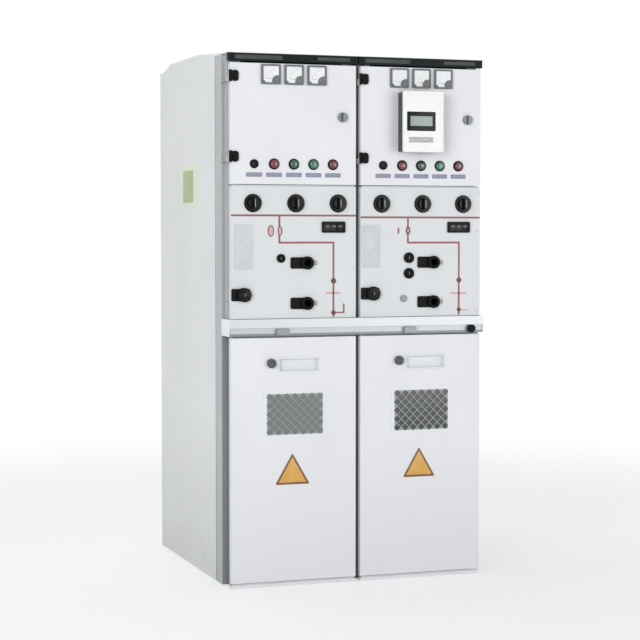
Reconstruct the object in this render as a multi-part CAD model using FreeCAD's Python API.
import FreeCAD, Part
import math
import os

# Two-bay metal-enclosed high voltage switchgear, in millimetres.
# X runs along the front, Y runs from the doors to the back, Z is up.
# The origin is on the floor, in the middle of the plinth's four anchor holes.
# Each bay is built with its left edge at x 0 and its door face at y 0, then moved to its place.

# Overall sizes of one bay
bay_width = 500.0
depth = 1000.0
sheet = 2.0
seat_gap = 0.3

# Plinth of welded channel, one frame under each bay, behind the doors and the side sheets
plinth_height = 75.0
plinth_rail_width = 60.0
plinth_wall = 5.0
anchor_hole_radius = 9.0
anchor_inset_x = 70.0
anchor_inset_y = 30.0
sheet_foot_gap = 3.0

# Heights of the front panels from the floor up, with the gaps between them
door_foot_gap = 18.0
panel_gap = 6.0
cable_door_height = 899.0
rail_lower_height = 30.0
rail_upper_height = 32.0
rail_seam = 1.0
mechanism_height = 483.0
instrument_door_height = 438.0
header_height = 29.0

# Doors and fixed front panels are pans of folded sheet
panel_depth = 25.0
panel_side_gap = 9.0
panel_edge_radius = 2.0
panel_lip = 12.0

# Front posts, folded from one sheet
lip_outer = 34.0
lip_inner = 54.0
lip_return = 18.0
shadow_gap = 14.0
lower_recess = 22.0
upper_recess = 10.0
strip_distance = 90.0
strip_length = 75.0
groove_depth = 12.0
groove_width = 12.0
wall_overlap = 33.0

# Ledge rail between the lower doors and the mechanism panels
rail_upper_reach = 12.0
rail_lower_reach = 4.0

# Roof, a shallow hood that rises behind the front
roof_rise = 25.0
roof_flange = 60.0
roof_front_length = 430.0
roof_rear_length = 170.0

# Inner decks and walls
cable_roof_rise = 7.0
instrument_depth = 380.0
cable_slot_distance = 560.0
cable_slot_width = 140.0

# Cable bushings and clamps
bushing_count = 3
bushing_pitch = 130.0
bushing_flange_radius = 52.0
bushing_flange_depth = 12.0
bushing_root_radius = 40.0
bushing_tip_radius = 27.0
bushing_length = 190.0
bushing_stud_radius = 9.0
bushing_stud_length = 35.0
clamp_rail_rise = 250.0
clamp_rail_height = 40.0
clamp_rail_depth = 30.0
clamp_width = 64.0
clamp_back = 8.0
cable_radius = 22.0

# Ammeters, placed from the middle and the top of the door
meter_size = 72.0
meter_corner = 3.0
meter_bezel = 9.0
meter_rim = 6.0
meter_face_depth = 3.0
meter_barrel_radius = 26.0
meter_barrel_length = 58.0
meter_offset = -1.0
meter_pitch = 88.0
meter_count = 3
meter_drop = 40.0

# Indicator lamps and the push button, placed from the middle and the foot of the door
lamp_offset = -1.0
lamp_pitch = 75.6
lamp_rise = 74.0
lamp_ring_radius = 20.0
lamp_ring_depth = 4.0
lamp_lens_radius = 16.0
lamp_lens_depth = 12.0
lamp_lens_chamfer = 4.0
button_ring_radius = 16.5
button_cap_radius = 12.0
button_cap_depth = 9.0
lamp_barrel_radius = 11.0
lamp_barrel_length = 46.0
lamp_count = 5

# Protection relay on the right instrument door
relay_width = 160.0
relay_meter_gap = 15.0
relay_lamp_gap = 28.0
relay_corner = 6.0
relay_reach = 64.0
relay_case_inset = 10.0
relay_case_depth = 90.0
relay_offset = -15.0
relay_screen_width = 114.0
relay_screen_height = 71.0
relay_screen_corner = 4.0
relay_screen_depth = 3.0
relay_screen_offset = -11.0
relay_screen_rise = 1.0

# Quarter-turn lock of the instrument doors, placed from the free edge of the bay
lock_edge_distance = 62.0
lock_rise = 248.0
lock_radius = 18.0
lock_reach = 9.0
lock_barrel_radius = 10.0
lock_barrel_length = 20.0
lock_wing_width = 7.0
lock_wing_reach = 18.0
lock_wing_inset = 3.0

# Hinges of the instrument doors, with their pin in front of the door's left edge
hinge_x = 7.0
hinge_y = -7.0
hinge_radius = 6.0
hinge_pin_radius = 2.5
hinge_height = 42.0
hinge_leaf_end = 34.0
hinge_leaf_depth = 9.0
hinge_arm = 4.0
hinge_play = 0.5
hinge_end_distances = (100.0, 48.0)

# Pivots of the cable doors
pivot_x = 18.0
pivot_radius = 5.0
pivot_play = 0.08
pivot_reach = 10.0

# Selector switches, placed from the middle and the top of the mechanism panel
selector_offset = 7.0
selector_pitch = 164.0
selector_count = 3
selector_drop = 62.0
selector_base_radius = 32.0
selector_base_depth = 8.0
selector_base_chamfer = 2.0
selector_knob_radius = 22.0
selector_knob_depth = 10.0
selector_grip_width = 12.0
selector_grip_depth = 14.0
selector_grip_corner = 4.0
selector_shaft_radius = 6.0
selector_play = 0.08

# Live voltage display
display_edge_distance = 98.0
display_drop = 149.0
display_width = 90.0
display_height = 41.0
display_reach = 7.0
display_corner = 4.0

# Sockets for the operating lever
socket_offset = 26.0
socket_boss_offset = 23.0
socket_rises = (55.0, 203.0)
socket_width = 80.0
socket_height = 42.0
socket_corner = 6.0
socket_plate = 5.0
socket_boss_radius = 24.0
socket_boss_reach = 14.0
socket_bore_radius = 13.0
socket_tube_radius = 18.0
socket_tube_length = 30.0
socket_end = 4.0

# Interlock lock at the lower left of the mechanism panel
interlock_left = 10.0
interlock_width = 70.0
interlock_rise = 88.0
interlock_height = 44.0
interlock_corner = 5.0
interlock_plate = 8.0
interlock_round_x = 57.0
interlock_round_radius = 26.0
interlock_round_reach = 16.0

# Small key locks: distance from the middle, height above the foot of the panel and radius, per bay
key_lock_reach = 8.0
key_slot_width = 2.5
key_slot_height = 10.0
key_slot_depth = 3.0
key_lock_places = (
    ((-51.0, 220.0, 16.0),),
    ((-49.0, 220.0, 20.0), (-49.0, 162.0, 20.0), (-70.0, 68.0, 13.0)),
)

# Fittings of the ledge rail
catch_offset = -47.0
catch_width = 50.0
catch_margin = 4.0
catch_reach = 12.0
catch_corner = 4.0
rail_knob_edge_distance = 49.0
rail_knob_radius = 15.0
rail_knob_reach = 14.0
rail_knob_stem_radius = 7.0
rail_knob_gap = 2.0

# Window of the cable doors: a plate with diamond holes over a pane
window_offset = 2.5
window_drop = 282.0
window_width = 226.0
window_height = 160.0
window_seat = 8.0
grille_corner = 5.0
grille_reach = 2.0
diamond_columns = 7
diamond_rows = 5
diamond_web = 3.5
pane_depth = 4.0

# Finger cup and knob of the cable doors
grip_offset = 19.0
grip_drop = 101.0
grip_width = 154.0
grip_height = 48.0
grip_corner = 5.0
grip_flange = 5.0
grip_depth = 16.0
grip_wall = 1.5
door_knob_offset = -89.0
door_knob_drop = 94.0
door_knob_radius = 18.0
door_knob_reach = 16.0
door_knob_chamfer = 3.0

# Values that follow from the ones above
bays = ("left", "right")
total_width = bay_width * len(bays)
middle = bay_width / 2
lip_y = panel_depth + seat_gap
post_front = lip_y + shadow_gap
panel_left = panel_side_gap
panel_right = bay_width - panel_side_gap
wall_front = strip_distance + strip_length + groove_width
wall_back = depth - sheet
deck_front = lip_y + lip_return
face_y = -(deck_front + wall_back) / 2
deck_narrow_end = wall_front + wall_overlap
sill_top = door_foot_gap - panel_gap
cable_door_top = door_foot_gap + cable_door_height
rail_bottom = cable_door_top + panel_gap
rail_step = rail_bottom + rail_lower_height
rail_top = rail_step + rail_upper_height
mechanism_bottom = rail_top + rail_seam
mechanism_top = mechanism_bottom + mechanism_height
instrument_door_bottom = mechanism_top + panel_gap
instrument_door_top = instrument_door_bottom + instrument_door_height
header_bottom = instrument_door_top + panel_gap
wall_top = header_bottom + header_height
cable_roof_z = rail_bottom + cable_roof_rise
instrument_shelf_z = mechanism_top + sheet
cable_y = cable_slot_distance + cable_slot_width / 2
hinge_centres = (
    instrument_door_bottom + hinge_end_distances[0],
    instrument_door_top - hinge_end_distances[1],
)
meter_z = instrument_door_top - meter_drop
lamp_z = instrument_door_bottom + lamp_rise
relay_x = middle + relay_offset
relay_bottom = lamp_z + lamp_ring_radius + relay_lamp_gap
relay_height = meter_z - meter_size / 2 - relay_meter_gap - relay_bottom
relay_z = relay_bottom + relay_height / 2
lock_x = bay_width - lock_edge_distance
lock_z = instrument_door_bottom + lock_rise
selector_z = mechanism_top - selector_drop
socket_x = middle + socket_offset
boss_x = socket_x + socket_boss_offset
socket_zs = [mechanism_bottom + rise for rise in socket_rises]
window_x = middle + window_offset
window_z = cable_door_top - window_drop
grip_x = middle + grip_offset
grip_z = cable_door_top - grip_drop
pivot_y = panel_depth / 2


def box(x0, x1, y0, y1, z0, z1):
    return Part.makeBox(x1 - x0, y1 - y0, z1 - z0, FreeCAD.Vector(x0, y0, z0))


def disc(x, z, radius, y0, y1):
    """Round bar along Y."""
    return Part.makeCylinder(radius, y1 - y0, FreeCAD.Vector(x, y0, z), FreeCAD.Vector(0, 1, 0))


def column(x, y, radius, z0, z1):
    """Round bar along Z."""
    return Part.makeCylinder(radius, z1 - z0, FreeCAD.Vector(x, y, z0))


def outline(corners, reach):
    """Solid with the outline through the corners, reaching as far as the vector."""
    return Part.Face(Part.makePolygon(corners + corners[:1])).extrude(reach)


def slab(points, z0, z1):
    """Flat plate with the outline given in X and Y."""
    return outline([FreeCAD.Vector(x, y, z0) for x, y in points], FreeCAD.Vector(0, 0, z1 - z0))


def profile(points, x0, x1):
    """Bar along X with the section given in Y and Z."""
    return outline([FreeCAD.Vector(x0, y, z) for y, z in points], FreeCAD.Vector(x1 - x0, 0, 0))


def folded(path, z0, z1):
    """Upright sheet folded along a path in X and Y, with its thickness to the right of the path."""
    inner = []
    for i, (x, y) in enumerate(path):
        normals = []
        for a, b in ((i - 1, i), (i, i + 1)):
            if a >= 0 and b < len(path):
                dx, dy = path[b][0] - path[a][0], path[b][1] - path[a][1]
                run = math.hypot(dx, dy)
                normals.append((dy / run, -dx / run))
        shift = normals[0]
        if len(normals) == 2:
            shift = (normals[0][0] + normals[1][0], normals[0][1] + normals[1][1])
        inner.append((x + shift[0] * sheet, y + shift[1] * sheet))
    return slab(list(path) + inner[::-1], z0, z1)


def at_front(y):
    """Picks the edges that lie in the foremost face, at y."""
    return lambda edge: edge.BoundBox.YMax < y + 1e-6


def along_y(edge):
    """Picks the straight edges that run from front to back."""
    ends = [v.Point for v in edge.Vertexes]
    return len(ends) == 2 and abs(abs(ends[1].y - ends[0].y) - ends[0].distanceToPoint(ends[1])) < 1e-6


def round_edges(shape, radius, wanted):
    return shape.makeFillet(radius, [edge for edge in shape.Edges if wanted(edge)])


def bevel_edges(shape, width, wanted):
    return shape.makeChamfer(width, [edge for edge in shape.Edges if wanted(edge)])


def rounded_plate(x, z, width, tall, y0, y1, corner):
    """Upright plate facing the front with rounded corners."""
    plate = box(x - width / 2, x + width / 2, y0, y1, z - tall / 2, z + tall / 2)
    return round_edges(plate, corner, along_y)


def mirrored(shape, width=bay_width):
    """The same piece at the other side of its bay, or of a row with the given width."""
    return shape.mirror(FreeCAD.Vector(width / 2, 0, 0), FreeCAD.Vector(1, 0, 0))


def placed(shape, bay):
    """Moves a piece from its bay's own place to its place in the row."""
    moved = shape.copy()
    moved.translate(FreeCAD.Vector(bays.index(bay) * bay_width - total_width / 2, face_y, 0))
    return moved


def row_placed(shape):
    """Moves a piece that runs along the whole row, built from x 0."""
    return placed(shape, bays[0])


def save(node, solids):
    shapes = [solid.removeSplitter() for solid in solids]
    whole = shapes[0] if len(shapes) == 1 else Part.makeCompound(shapes)
    whole.exportStep(os.path.join("parts", node + ".step"))
    print(node, len(shapes), round(sum(s.Volume for s in shapes) / 1000.0, 1), "cm3")


def spread(middle_x, pitch, count):
    """Even places along X around the given middle."""
    return [middle_x + (i - (count - 1) / 2) * pitch for i in range(count)]


def channel(x0, x1, y_web, inward):
    """Channel along X with its web at y_web and its flanges reaching inward."""
    y_end = y_web + inward * plinth_rail_width
    y_inner = y_web + inward * plinth_wall
    outer = box(x0, x1, min(y_web, y_end), max(y_web, y_end), 0, plinth_height)
    hollow = box(x0, x1, min(y_inner, y_end), max(y_inner, y_end), plinth_wall, plinth_height - plinth_wall)
    return outer.cut(hollow)


def sill(inset, z0, z1):
    """Threshold below the cable door, fitted round the lips of the posts."""
    left = panel_left + inset
    narrow = lip_inner + inset
    y0 = inset
    y1 = lip_y - inset
    right = bay_width - left
    narrow_right = bay_width - narrow
    points = [
        (left, y0), (right, y0), (right, y1), (narrow_right, y1),
        (narrow_right, deck_front), (narrow, deck_front), (narrow, y1), (left, y1),
    ]
    return slab(points, z0, z1)


def plinth():
    """Front channel with the sill, rear channel with an anchor hole each, and two between, in each bay."""
    post_inside = lower_recess + sheet
    front = channel(post_inside, bay_width - post_inside, deck_front, 1)
    front = front.fuse(sill(0, 0, sill_top).cut(sill(sheet, 0, sill_top - sheet)))
    front = front.cut(
        column(anchor_inset_x, deck_front + anchor_inset_y, anchor_hole_radius, 0, plinth_wall)
    )
    rear = channel(sheet, bay_width - sheet, wall_back, -1)
    rear = rear.cut(
        column(anchor_inset_x, wall_back - anchor_inset_y, anchor_hole_radius, 0, plinth_wall)
    )
    first = [placed(s, bays[0]) for s in (front, rear)]
    last = [placed(mirrored(s), bays[-1]) for s in (front, rear)]
    save("plinth_rails", first + last)
    x0 = groove_depth + sheet
    y0 = deck_front + plinth_rail_width
    y1 = wall_back - plinth_rail_width
    side = box(x0, x0 + plinth_rail_width, y0, y1, 0, plinth_height)
    side = side.cut(
        box(x0 + plinth_wall, x0 + plinth_rail_width, y0, y1, plinth_wall, plinth_height - plinth_wall)
    )
    save("plinth_cross_rails", [placed(s, bay) for bay in bays for s in (side, mirrored(side))])


def post_length(recess, z0, z1):
    """Length of the left front post: gasket lip, shadow recess, flush strip, groove and wall flange."""
    groove_start = strip_distance + strip_length
    path = [
        (lip_inner, deck_front),
        (lip_inner, lip_y),
        (lip_outer, lip_y),
        (lip_outer, post_front),
        (recess, post_front),
        (recess, strip_distance),
        (0, strip_distance),
        (0, groove_start),
        (groove_depth, groove_start),
        (groove_depth, wall_front),
        (sheet, wall_front),
        (sheet, wall_front + wall_overlap),
    ]
    return folded(path, z0, z1)


def deck(recess, y0, y1, z):
    """Flat inner sheet between the posts and the walls."""
    narrow = max(recess, groove_depth) + sheet
    narrow_end = min(deck_narrow_end, y1)
    points = [(narrow, y0), (bay_width - narrow, y0), (bay_width - narrow, narrow_end)]
    if y1 > narrow_end:
        wide = bay_width - sheet
        points += [(wide, narrow_end), (wide, y1), (sheet, y1), (sheet, narrow_end)]
    points.append((narrow, narrow_end))
    return slab(points, z, z + sheet)


def frame():
    """Front posts, side walls and back covers."""
    for bay in bays:
        post = post_length(lower_recess, sheet_foot_gap, rail_step)
        post = post.fuse(post_length(upper_recess, rail_step, wall_top))
        save("front_posts_" + bay, [placed(s, bay) for s in (post, mirrored(post))])
        wall = box(0, sheet, wall_front, wall_back, sheet_foot_gap, wall_top)
        save("side_walls_" + bay, [placed(s, bay) for s in (wall, mirrored(wall))])
    cover = box(sheet, bay_width - sheet, wall_back, depth, sheet_foot_gap, wall_top)
    save("back_covers", [placed(cover, bay) for bay in bays])
    header = box(sheet, bay_width - sheet, 0, lip_y, header_bottom, wall_top)
    save("header_strips", [placed(header, bay) for bay in bays])


def decks():
    """Floors with the cable slot, roofs of the cable compartments and shells of the instrument ones."""
    front_floor = deck(lower_recess, deck_front, cable_slot_distance, plinth_height)
    rear_floor = box(
        sheet, bay_width - sheet, cable_slot_distance + cable_slot_width, wall_back,
        plinth_height, plinth_height + sheet,
    )
    save("floor_plates", [placed(s, bay) for bay in bays for s in (front_floor, rear_floor)])
    roof = deck(lower_recess, deck_front, wall_back, cable_roof_z)
    save("cable_compartment_roofs", [placed(roof, bay) for bay in bays])
    shelf = deck(upper_recess, deck_front, instrument_depth, instrument_shelf_z)
    rear = box(
        sheet, bay_width - sheet, instrument_depth, instrument_depth + sheet, instrument_shelf_z, wall_top
    )
    save("instrument_compartment_shells", [placed(s, bay) for bay in bays for s in (shelf, rear)])


def top_covers():
    """Shallow hoods, flat along the front and rear edges and raised between, open underneath."""
    flat = wall_top + sheet
    ridge = flat + roof_rise
    bends = [
        (roof_flange, flat),
        (roof_front_length, ridge),
        (depth - roof_rear_length, ridge),
        (depth - roof_flange, flat),
    ]
    section = [(0, wall_top), (0, flat)] + bends + [(depth, flat), (depth, wall_top)]
    skin = profile(section, seat_gap, bay_width - seat_gap)
    inset = seat_gap + sheet
    hollow = profile([(y, z - sheet) for y, z in bends], inset, bay_width - inset)
    save("top_covers", [placed(skin.cut(hollow), bay) for bay in bays])


def cable_fittings():
    """Bushings under the cable compartment roofs and the rails that the cables are clamped to."""
    bushings = []
    rails = []
    top = cable_roof_z - bushing_flange_depth
    tip = top - bushing_length
    xs = spread(middle, bushing_pitch, bushing_count)
    rail_y = cable_y + cable_radius + clamp_back
    rail_z = plinth_height + clamp_rail_rise
    rail_end = rail_z + clamp_rail_height
    rail = box(sheet, bay_width - sheet, rail_y, rail_y + clamp_rail_depth, rail_z, rail_end)
    for x in xs:
        flange = column(x, cable_y, bushing_flange_radius, top, cable_roof_z)
        cone = Part.makeCone(
            bushing_tip_radius, bushing_root_radius, bushing_length, FreeCAD.Vector(x, cable_y, tip)
        )
        stud = column(x, cable_y, bushing_stud_radius, tip - bushing_stud_length, tip)
        bushings.append(flange.fuse(cone).fuse(stud))
        block = [
            (x - clamp_width / 2, rail_y),
            (x - clamp_width / 2, cable_y),
            (x - cable_radius, cable_y),
            (x, rail_y - clamp_back),
            (x + cable_radius, cable_y),
            (x + clamp_width / 2, cable_y),
            (x + clamp_width / 2, rail_y),
        ]
        rail = rail.fuse(slab(block, rail_z, rail_end))
    for bay in bays:
        rails.append(placed(rail, bay))
    save("cable_bushings", [placed(s, bay) for bay in bays for s in bushings])
    save("cable_clamp_rails", rails)


def pan(z0, z1):
    """Folded pan with a flat face, turned edges and an inner lip."""
    outer = box(panel_left, panel_right, 0, panel_depth, z0, z1)
    outer = round_edges(outer, panel_edge_radius, at_front(0))
    hollow = box(
        panel_left + sheet, panel_right - sheet, sheet, panel_depth - sheet, z0 + sheet, z1 - sheet
    )
    mouth = box(
        panel_left + panel_lip, panel_right - panel_lip, sheet, panel_depth, z0 + panel_lip, z1 - panel_lip
    )
    return outer.cut(hollow).cut(mouth)


def ammeter(x):
    half = meter_size / 2
    rim = half - meter_rim
    bezel = rounded_plate(x, meter_z, meter_size, meter_size, -meter_bezel, 0, meter_corner)
    window = box(
        x - rim, x + rim, -meter_bezel, meter_face_depth - meter_bezel, meter_z - rim, meter_z + rim
    )
    return bezel.cut(window).fuse(disc(x, meter_z, meter_barrel_radius, 0, meter_barrel_length))


def lamp(x):
    """Domed lamp in its ring, with the barrel behind the door."""
    lens = disc(x, lamp_z, lamp_lens_radius, -lamp_lens_depth, -lamp_ring_depth)
    lens = bevel_edges(lens, lamp_lens_chamfer, at_front(-lamp_lens_depth))
    ring = disc(x, lamp_z, lamp_ring_radius, -lamp_ring_depth, 0)
    return ring.fuse(lens).fuse(disc(x, lamp_z, lamp_barrel_radius, 0, lamp_barrel_length))


def push_button(x):
    cap = disc(x, lamp_z, button_cap_radius, -button_cap_depth, -lamp_ring_depth)
    ring = disc(x, lamp_z, button_ring_radius, -lamp_ring_depth, 0)
    return ring.fuse(cap).fuse(disc(x, lamp_z, lamp_barrel_radius, 0, lamp_barrel_length))


def relay():
    """Relay with a raised face, a sunken screen and its case behind the door."""
    body = rounded_plate(relay_x, relay_z, relay_width, relay_height, -relay_reach, 0, relay_corner)
    screen = rounded_plate(
        relay_x + relay_screen_offset, relay_z + relay_screen_rise, relay_screen_width, relay_screen_height,
        -relay_reach, relay_screen_depth - relay_reach, relay_screen_corner,
    )
    half_x = relay_width / 2 - relay_case_inset
    half_z = relay_height / 2 - relay_case_inset
    case = box(relay_x - half_x, relay_x + half_x, 0, relay_case_depth, relay_z - half_z, relay_z + half_z)
    return body.cut(screen).fuse(case)


def door_lock():
    rose = disc(lock_x, lock_z, lock_radius, -lock_reach, 0)
    half_wing = lock_radius - lock_wing_inset
    wing = box(
        lock_x - lock_wing_width / 2, lock_x + lock_wing_width / 2, -lock_wing_reach, -lock_reach,
        lock_z - half_wing, lock_z + half_wing,
    )
    return rose.fuse(wing).fuse(disc(lock_x, lock_z, lock_barrel_radius, 0, lock_barrel_length))


def hinge_leaf(z):
    """Moving half of a hinge: the upper knuckle with its leaf on the door."""
    top = z + hinge_height / 2
    knuckle = column(hinge_x, hinge_y, hinge_radius, z + hinge_play, top)
    bore = column(hinge_x, hinge_y, hinge_pin_radius + pivot_play, z, top - 2 * hinge_play)
    bridge = box(hinge_x, hinge_leaf_end, -hinge_leaf_depth, 0, z + hinge_play, top)
    leaf_start = hinge_x + hinge_radius + 4 * hinge_play
    leaf = box(leaf_start, hinge_leaf_end, -hinge_leaf_depth, 0, z - hinge_height / 2, top)
    edge_gap = box(0, panel_left, hinge_y + hinge_radius, 0, z, top)
    return knuckle.fuse(bridge.cut(edge_gap)).fuse(leaf).cut(bore)


def hinge_arm_piece(z):
    """Fixed half of a hinge: the lower knuckle with its pin, and the arm back to the post."""
    low = z - hinge_height / 2
    arm_x = hinge_x - hinge_radius
    knuckle = column(hinge_x, hinge_y, hinge_radius, low, z)
    pin = column(hinge_x, hinge_y, hinge_pin_radius, low, z + hinge_height / 2 - 4 * hinge_play)
    arm = box(arm_x, arm_x + hinge_arm, hinge_y, strip_distance, low, z)
    foot = box(arm_x, upper_recess, panel_depth + hinge_arm, strip_distance, low, z)
    return knuckle.fuse(arm).fuse(foot).fuse(pin)


def instrument_door(bay):
    """Hinged door of the low voltage compartment, with its holes and what it carries."""
    meters = spread(middle + meter_offset, meter_pitch, meter_count)
    lamps = spread(middle + lamp_offset, lamp_pitch, lamp_count)
    holes = [disc(x, meter_z, meter_barrel_radius + seat_gap, 0, sheet) for x in meters]
    holes += [disc(x, lamp_z, lamp_barrel_radius + seat_gap, 0, sheet) for x in lamps]
    holes.append(disc(lock_x, lock_z, lock_barrel_radius + seat_gap, 0, sheet))
    if bay == bays[-1]:
        half_x = relay_width / 2 - relay_case_inset + seat_gap
        half_z = relay_height / 2 - relay_case_inset + seat_gap
        holes.append(box(relay_x - half_x, relay_x + half_x, 0, sheet, relay_z - half_z, relay_z + half_z))
        save("protection_relay", [placed(relay(), bay)])
    door = pan(instrument_door_bottom, instrument_door_top).cut(holes)
    save("instrument_door_" + bay, [placed(door, bay)])
    save("ammeters_" + bay, [placed(ammeter(x), bay) for x in meters])
    lights = [push_button(lamps[0])] + [lamp(x) for x in lamps[1:]]
    save("indicator_lamps_" + bay, [placed(s, bay) for s in lights])
    save("instrument_door_lock_" + bay, [placed(door_lock(), bay)])
    save("hinge_leaves_" + bay, [placed(hinge_leaf(z), bay) for z in hinge_centres])


def selector_base(x):
    base = disc(x, selector_z, selector_base_radius, -selector_base_depth, 0)
    base = bevel_edges(base, selector_base_chamfer, at_front(-selector_base_depth))
    return base.cut(disc(x, selector_z, selector_shaft_radius + selector_play, -selector_base_depth, 0))


def selector_knob(x):
    """Turning knob with its finger bar and the shaft through the panel."""
    y0 = -selector_base_depth - seat_gap
    y1 = y0 - selector_knob_depth
    knob = disc(x, selector_z, selector_knob_radius, y1, y0)
    grip = rounded_plate(
        x, selector_z, selector_grip_width, 2 * selector_knob_radius, y1 - selector_grip_depth, y1,
        selector_grip_corner,
    )
    return knob.fuse(grip).fuse(disc(x, selector_z, selector_shaft_radius, y0, panel_depth))


def operating_socket(z):
    """Plate with a boss and a blind tube behind the panel, which takes the end of the lever."""
    plate = rounded_plate(socket_x, z, socket_width, socket_height, -socket_plate, 0, socket_corner)
    boss = disc(boss_x, z, socket_boss_radius, -socket_boss_reach, 0)
    tube = disc(boss_x, z, socket_tube_radius, 0, socket_tube_length)
    bore = disc(boss_x, z, socket_bore_radius, -socket_boss_reach, socket_tube_length - socket_end)
    return plate.fuse(boss).fuse(tube).cut(bore)


def interlock():
    """Guard plate with a round lock housing."""
    z = mechanism_bottom + interlock_rise
    plate = rounded_plate(
        interlock_left + interlock_width / 2, z, interlock_width, interlock_height, -interlock_plate, 0,
        interlock_corner,
    )
    return plate.fuse(disc(interlock_round_x, z, interlock_round_radius, -interlock_round_reach, 0))


def key_lock(x, z, radius):
    """Small cylinder lock with its key slot."""
    slot = box(
        x - key_slot_width / 2, x + key_slot_width / 2, -key_lock_reach, key_slot_depth - key_lock_reach,
        z - key_slot_height / 2, z + key_slot_height / 2,
    )
    return disc(x, z, radius, -key_lock_reach, 0).cut(slot)


def mechanism_panels():
    """Fixed panels with the holes for the selector shafts and the lever sockets."""
    panel = pan(mechanism_bottom, mechanism_top)
    seat = box(panel_left, panel_right, panel_depth - sheet, lip_y, mechanism_bottom, mechanism_top)
    hollow = box(
        panel_left + panel_lip, panel_right - panel_lip, 0, depth,
        mechanism_bottom + panel_lip, mechanism_top - panel_lip,
    )
    selectors = spread(middle + selector_offset, selector_pitch, selector_count)
    holes = [disc(x, selector_z, selector_shaft_radius + selector_play, 0, sheet) for x in selectors]
    holes += [disc(boss_x, z, socket_tube_radius + seat_gap, 0, sheet) for z in socket_zs]
    panel = panel.fuse(seat.cut(hollow)).cut(holes)
    save("mechanism_panels", [placed(panel, bay) for bay in bays])
    save("selector_bases", [placed(selector_base(x), bay) for bay in bays for x in selectors])
    for bay in bays:
        for name, x in zip(("a", "b", "c"), selectors):
            save("selector_knob_" + bay + "_" + name, [placed(selector_knob(x), bay)])


def controls():
    """Fittings on the mechanism panels and the fixed halves of the door hinges."""
    display = rounded_plate(
        bay_width - display_edge_distance, mechanism_top - display_drop, display_width, display_height,
        -display_reach, 0, display_corner,
    )
    save("voltage_displays", [placed(display, bay) for bay in bays])
    save("operating_sockets", [placed(operating_socket(z), bay) for bay in bays for z in socket_zs])
    save("interlocks", [placed(interlock(), bay) for bay in bays])
    locks = []
    for bay, places in zip(bays, key_lock_places):
        locks += [placed(key_lock(middle + x, mechanism_bottom + rise, r), bay) for x, rise, r in places]
    save("key_locks", locks)
    save("hinge_arms", [placed(hinge_arm_piece(z), bay) for bay in bays for z in hinge_centres])


def ledge_rail():
    """Stepped rail along both bays, hollow behind, with solid ends that close the side recess."""
    upper = box(0, total_width, -rail_upper_reach, lip_y, rail_step, rail_top)
    lower = box(0, total_width, -rail_lower_reach, lip_y, rail_bottom, rail_step)
    hollow = box(
        sheet, total_width - sheet, sheet - rail_lower_reach, lip_y, rail_bottom + sheet, rail_top - sheet
    )
    rail = upper.fuse(lower).cut(hollow)
    for x0, x1 in ((0, upper_recess), (total_width - upper_recess, total_width)):
        rail = rail.fuse(box(x0, x1, lip_y, strip_distance, rail_bottom, rail_top))
    save("ledge_rail", [row_placed(rail)])


def rail_fittings():
    """Catches of the cable doors, and the knob at the free end of the rail."""
    z = (rail_bottom + rail_step) / 2
    front = -rail_lower_reach
    catch = rounded_plate(
        middle + catch_offset, z, catch_width, rail_lower_height - 2 * catch_margin,
        front - catch_reach, front, catch_corner,
    )
    save("rail_catches", [placed(catch, bay) for bay in bays])
    x = bay_width - rail_knob_edge_distance
    stem = disc(x, z, rail_knob_stem_radius, front - rail_knob_gap, front)
    knob = disc(x, z, rail_knob_radius, front - rail_knob_gap - rail_knob_reach, front - rail_knob_gap)
    save("rail_knob", [placed(stem.fuse(knob), bays[-1])])


def grille():
    """Plate with staggered rows of diamond holes, as wide as the window and lying over it."""
    plate = rounded_plate(
        window_x, window_z, window_width + 2 * window_seat, window_height + 2 * window_seat,
        -grille_reach, 0, grille_corner,
    )
    pitch_x = window_width / diamond_columns
    pitch_z = window_height / diamond_rows
    shrink = 1 - diamond_web * math.hypot(pitch_x, pitch_z) / (pitch_x * pitch_z)
    half_x = pitch_x / 2 * shrink
    half_z = pitch_z / 2 * shrink
    holes = []
    for columns, rows in ((diamond_columns, diamond_rows), (diamond_columns - 1, diamond_rows - 1)):
        for x in spread(window_x, pitch_x, columns):
            for z in spread(window_z, pitch_z, rows):
                corners = [(x - half_x, z), (x, z - half_z), (x + half_x, z), (x, z + half_z)]
                points = [FreeCAD.Vector(px, -grille_reach, pz) for px, pz in corners]
                holes.append(outline(points, FreeCAD.Vector(0, grille_reach, 0)))
    return plate.cut(Part.makeCompound(holes))


def window_pane():
    """Pane held against the inside of the door behind the grille."""
    half_x = window_width / 2 + window_seat
    half_z = window_height / 2 + window_seat
    back = sheet + pane_depth
    return box(window_x - half_x, window_x + half_x, sheet, back, window_z - half_z, window_z + half_z)


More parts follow.
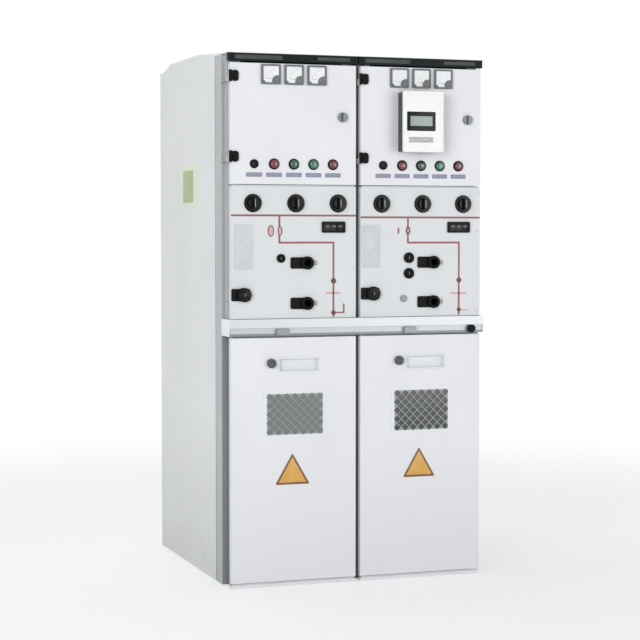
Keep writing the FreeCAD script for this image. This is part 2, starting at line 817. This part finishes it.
def grip():
    """Flanged finger cup let into the door."""
    flange = rounded_plate(
        grip_x, grip_z, grip_width + 2 * grip_flange, grip_height + 2 * grip_flange,
        -grip_wall, 0, grip_corner,
    )
    cup = rounded_plate(grip_x, grip_z, grip_width, grip_height, 0, grip_depth, grip_corner)
    pocket = rounded_plate(
        grip_x, grip_z, grip_width - 2 * grip_wall, grip_height - 2 * grip_wall,
        -grip_wall, grip_depth - grip_wall, grip_corner - grip_wall,
    )
    return flange.fuse(cup).cut(pocket)


def door_knob():
    z = cable_door_top - door_knob_drop
    knob = disc(middle + door_knob_offset, z, door_knob_radius, -door_knob_reach, 0)
    return bevel_edges(knob, door_knob_chamfer, at_front(-door_knob_reach))


def cable_door(bay):
    """Lower door over the cable compartment, turning on a pin at the top and one at the foot."""
    window = rounded_plate(window_x, window_z, window_width, window_height, 0, sheet, grille_corner)
    cup_hole = rounded_plate(
        grip_x, grip_z, grip_width + 2 * seat_gap, grip_height + 2 * seat_gap, 0, sheet, grip_corner
    )
    pin_holes = column(pivot_x, pivot_y, pivot_radius + pivot_play, door_foot_gap, cable_door_top)
    door = pan(door_foot_gap, cable_door_top).cut([window, cup_hole, pin_holes])
    save("cable_door_" + bay, [placed(door, bay)])
    save("window_grille_" + bay, [placed(grille(), bay)])
    save("window_pane_" + bay, [placed(window_pane(), bay)])
    save("cable_door_handle_" + bay, [placed(s, bay) for s in (grip(), door_knob())])


def cable_door_pivots():
    """Pins under the ledge rail and on the sill, which carry the lower doors."""
    top = column(pivot_x, pivot_y, pivot_radius, cable_door_top - pivot_reach, rail_bottom)
    foot = column(pivot_x, pivot_y, pivot_radius, sill_top, door_foot_gap + pivot_reach)
    save("cable_door_pivots", [placed(s, bay) for bay in bays for s in (top, foot)])


os.makedirs("parts", exist_ok=True)
plinth()
frame()
decks()
top_covers()
cable_fittings()
ledge_rail()
rail_fittings()
mechanism_panels()
controls()
cable_door_pivots()
for bay in bays:
    instrument_door(bay)
    cable_door(bay)
